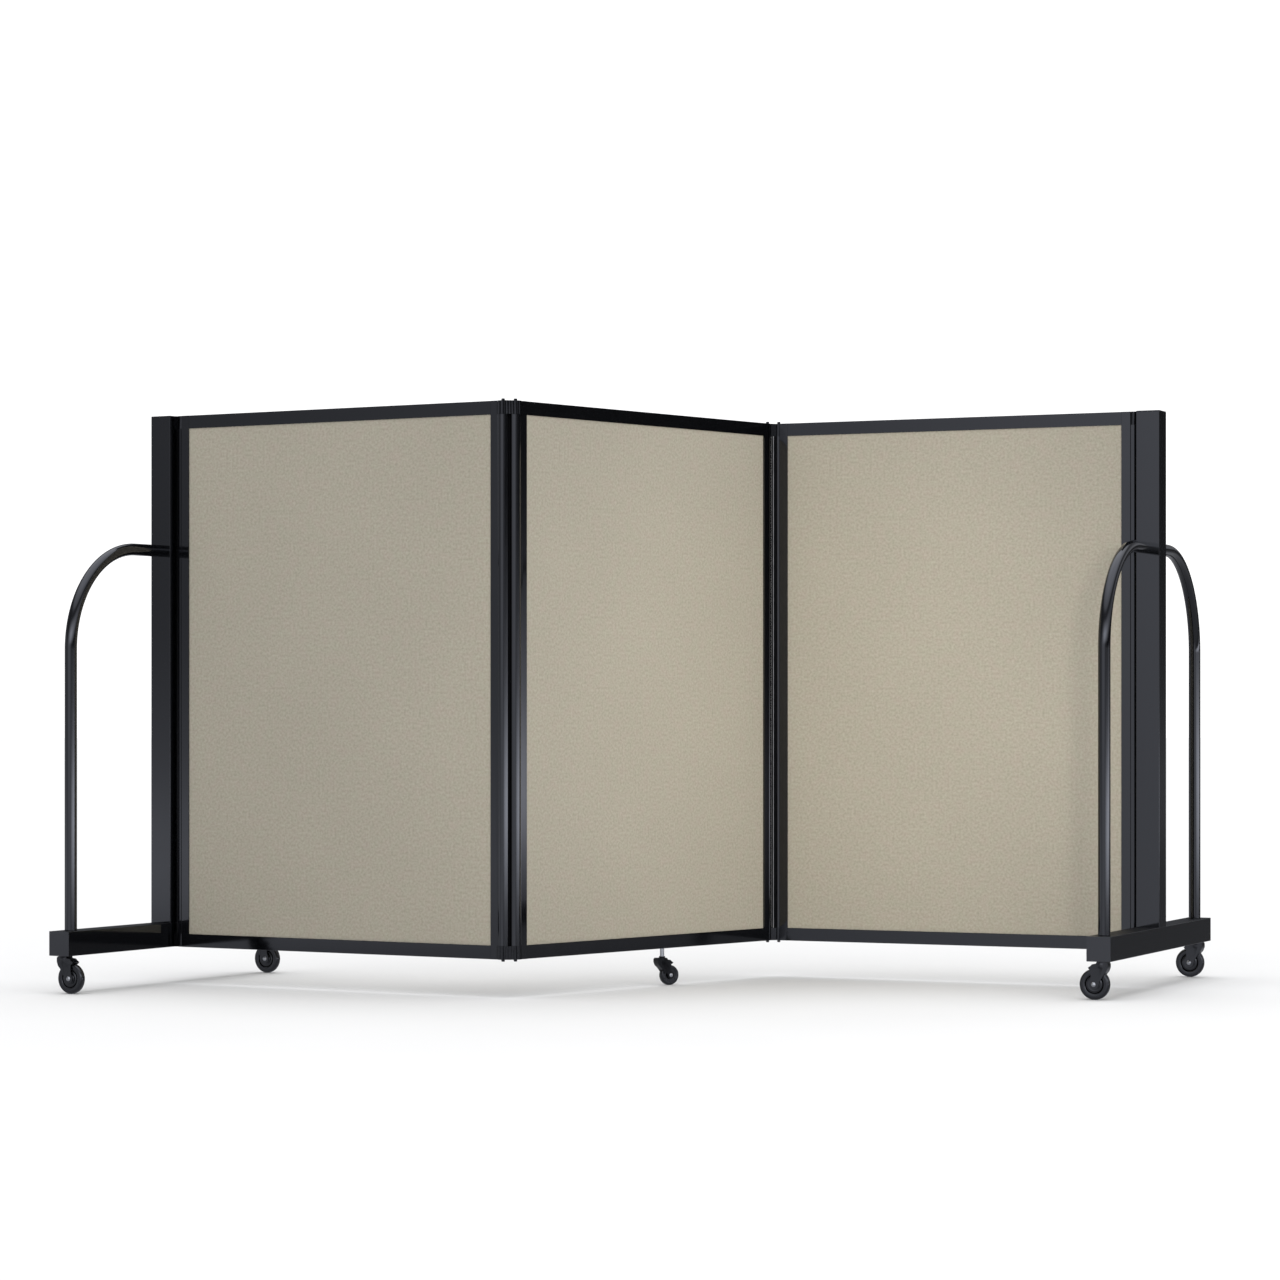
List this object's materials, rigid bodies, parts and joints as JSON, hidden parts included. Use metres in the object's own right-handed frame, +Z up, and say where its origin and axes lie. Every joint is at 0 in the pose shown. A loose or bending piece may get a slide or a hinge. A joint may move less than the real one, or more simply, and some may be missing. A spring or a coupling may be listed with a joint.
{
  "type": "folding ward privacy screen on wheels",
  "caption": "Folding ward privacy screen: fabric panels in slim black frames, joined by full-height double-pin hinges, on castered end frames with round hoops.",
  "frame": {"origin": "on the floor, in the middle of the footprint of the zigzag rest position", "axes": "+Z up, +X along the screen from its left end to its right end as seen from the front, +Y to the rear"},
  "size_m": [2.4792, 0.8356, 1.2235],
  "materials": {
    "fabric": "matte beige woven fabric with fine mottling",
    "panel_frame": "satin black",
    "hinge": "satin black",
    "tube": "gloss black",
    "cap": "satin black",
    "caster_fork": "satin black moulded",
    "caster_wheel": "satin black",
    "zinc": "bright zinc plated"
  },
  "bodies": {
    "panel_2": {"panel_2_board": "fabric", "panel_2_top_rail": "panel_frame", "panel_2_bottom_rail": "panel_frame", "panel_2_left_stile": "panel_frame", "panel_2_right_stile": "panel_frame", "middle_caster_stem": "zinc"},
    "fold_1_link": {"fold_1_spine": "hinge", "fold_1_top_block": "hinge", "fold_1_bottom_block": "hinge", "fold_1_left_rod": "hinge", "fold_1_right_rod": "hinge"},
    "fold_2_link": {"fold_2_spine": "hinge", "fold_2_top_block": "hinge", "fold_2_bottom_block": "hinge", "fold_2_left_rod": "hinge", "fold_2_right_rod": "hinge"},
    "panel_1": {"panel_1_board": "fabric", "panel_1_top_rail": "panel_frame", "panel_1_bottom_rail": "panel_frame", "panel_1_left_stile": "panel_frame", "panel_1_right_stile": "panel_frame"},
    "panel_3": {"panel_3_board": "fabric", "panel_3_top_rail": "panel_frame", "panel_3_bottom_rail": "panel_frame", "panel_3_left_stile": "panel_frame", "panel_3_right_stile": "panel_frame"},
    "left_end_frame": {"left_end_top_block": "hinge", "left_end_bottom_block": "hinge", "left_end_rod": "hinge", "left_base_tube": "tube", "left_post_tube": "tube", "left_hoop": "tube", "left_post_cap": "cap", "left_base_front_cap": "cap", "left_base_rear_cap": "cap"},
    "right_end_frame": {"right_end_top_block": "hinge", "right_end_bottom_block": "hinge", "right_end_rod": "hinge", "right_base_tube": "tube", "right_post_tube": "tube", "right_hoop": "tube", "right_post_cap": "cap", "right_base_front_cap": "cap", "right_base_rear_cap": "cap"},
    "left_front_caster_fork": {"left_front_caster_fork": "caster_fork", "left_front_caster_axle": "zinc"},
    "left_front_caster_wheel": {"left_front_caster_wheel": "caster_wheel"},
    "left_rear_caster_fork": {"left_rear_caster_fork": "caster_fork", "left_rear_caster_axle": "zinc"},
    "left_rear_caster_wheel": {"left_rear_caster_wheel": "caster_wheel"},
    "right_front_caster_fork": {"right_front_caster_fork": "caster_fork", "right_front_caster_axle": "zinc"},
    "right_front_caster_wheel": {"right_front_caster_wheel": "caster_wheel"},
    "right_rear_caster_fork": {"right_rear_caster_fork": "caster_fork", "right_rear_caster_axle": "zinc"},
    "right_rear_caster_wheel": {"right_rear_caster_wheel": "caster_wheel"},
    "middle_caster_fork": {"middle_caster_fork": "caster_fork", "middle_caster_axle": "zinc"},
    "middle_caster_wheel": {"middle_caster_wheel": "caster_wheel"}
  },
  "joints": [
    {"name": "fold_1_inner", "type": "hinge", "parent": "panel_2", "child": "fold_1_link", "pos_m": [-0.27102, -0.33322, 0.649], "axis": [0, 0, 1], "range_deg": [-50.8, 39.2]},
    {"name": "fold_1_outer", "type": "hinge", "parent": "fold_1_link", "child": "panel_1", "pos_m": [-0.29607, -0.33741, 0.649], "axis": [0, 0, 1], "range_deg": [-50.8, 39.2]},
    {"name": "left_end_hinge", "type": "hinge", "parent": "panel_1", "child": "left_end_frame", "pos_m": [-1.0014, 0.0649, 0.649], "axis": [0, 0, -1], "range_deg": [-90, 90]},
    {"name": "fold_2_inner", "type": "hinge", "parent": "panel_2", "child": "fold_2_link", "pos_m": [0.2649, 0.27681, 0.649], "axis": [0, 0, 1], "range_deg": [-53.4, 36.6]},
    {"name": "fold_2_outer", "type": "hinge", "parent": "fold_2_link", "child": "panel_3", "pos_m": [0.28974, 0.28213, 0.649], "axis": [0, 0, 1], "range_deg": [-53.4, 36.6]},
    {"name": "right_end_hinge", "type": "hinge", "parent": "panel_3", "child": "right_end_frame", "pos_m": [1.02863, -0.0546, 0.649], "axis": [0, 0, -1], "range_deg": [-90, 90]},
    {"name": "left_front_caster_swivel", "type": "hinge", "parent": "left_end_frame", "child": "left_front_caster_fork", "pos_m": [-1.20648, -0.21795, 0.079], "axis": [0, 0, 1], "continuous": true},
    {"name": "left_front_caster_roll", "type": "hinge", "parent": "left_front_caster_fork", "child": "left_front_caster_wheel", "pos_m": [-1.19388, -0.22513, 0.03175], "axis": [0.4955, 0.8686, 0], "continuous": true},
    {"name": "left_rear_caster_swivel", "type": "hinge", "parent": "left_end_frame", "child": "left_rear_caster_fork", "pos_m": [-0.86233, 0.3854, 0.079], "axis": [0, 0, 1], "continuous": true},
    {"name": "left_rear_caster_roll", "type": "hinge", "parent": "left_rear_caster_fork", "child": "left_rear_caster_wheel", "pos_m": [-0.84974, 0.37822, 0.03175], "axis": [0.4955, 0.8686, 0], "continuous": true},
    {"name": "right_front_caster_swivel", "type": "hinge", "parent": "right_end_frame", "child": "right_front_caster_fork", "pos_m": [0.91918, -0.38639, 0.079], "axis": [0, 0, 1], "continuous": true},
    {"name": "right_front_caster_roll", "type": "hinge", "parent": "right_front_caster_fork", "child": "right_front_caster_wheel", "pos_m": [0.90599, -0.38037, 0.03175], "axis": [-0.4147, -0.91, 0], "continuous": true},
    {"name": "right_rear_caster_swivel", "type": "hinge", "parent": "right_end_frame", "child": "right_rear_caster_fork", "pos_m": [1.20723, 0.24567, 0.079], "axis": [0, 0, 1], "continuous": true},
    {"name": "right_rear_caster_roll", "type": "hinge", "parent": "right_rear_caster_fork", "child": "right_rear_caster_wheel", "pos_m": [1.19403, 0.25168, 0.03175], "axis": [-0.4147, -0.91, 0], "continuous": true},
    {"name": "middle_caster_swivel", "type": "hinge", "parent": "panel_2", "child": "middle_caster_fork", "pos_m": [0.03027, 0.00973, 0.079], "axis": [0, 0, 1], "continuous": true},
    {"name": "middle_caster_roll", "type": "hinge", "parent": "middle_caster_fork", "child": "middle_caster_wheel", "pos_m": [0.04484, 0.01748, 0.0215], "axis": [-0.4695, 0.8829, 0], "continuous": true}
  ]
}
